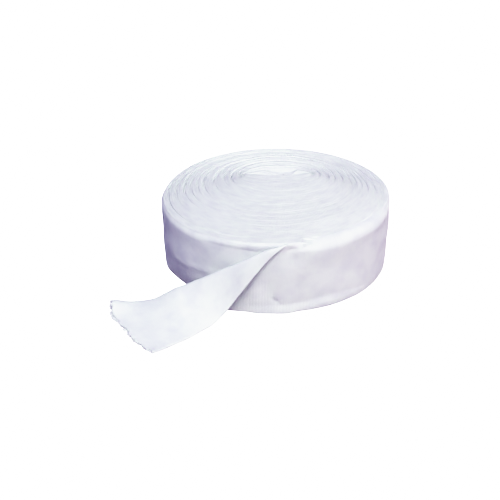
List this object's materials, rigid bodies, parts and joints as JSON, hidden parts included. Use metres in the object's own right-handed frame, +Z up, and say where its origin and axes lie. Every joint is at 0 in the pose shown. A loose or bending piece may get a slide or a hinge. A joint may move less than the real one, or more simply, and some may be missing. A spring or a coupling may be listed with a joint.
{
  "type": "stockinette roll",
  "caption": "Flat cotton knit tube wound round itself into a short, wide coreless roll, its loose end folding over at the front and lying flat.",
  "frame": {"origin": "middle of the footprint of the roll and its loose end, on the surface that the roll lies on", "axes": "+Z up along the winding axis, out of the raised centre; +X along the first flat fold at the roll's centre; the loose end runs towards -X and -Y"},
  "size_m": [0.2942, 0.3018, 0.101],
  "materials": {
    "stockinette": "matt bleached cotton knit"
  },
  "bodies": {
    "root": {"wound_roll": "stockinette", "loose_end": "stockinette"}
  },
  "joints": []
}
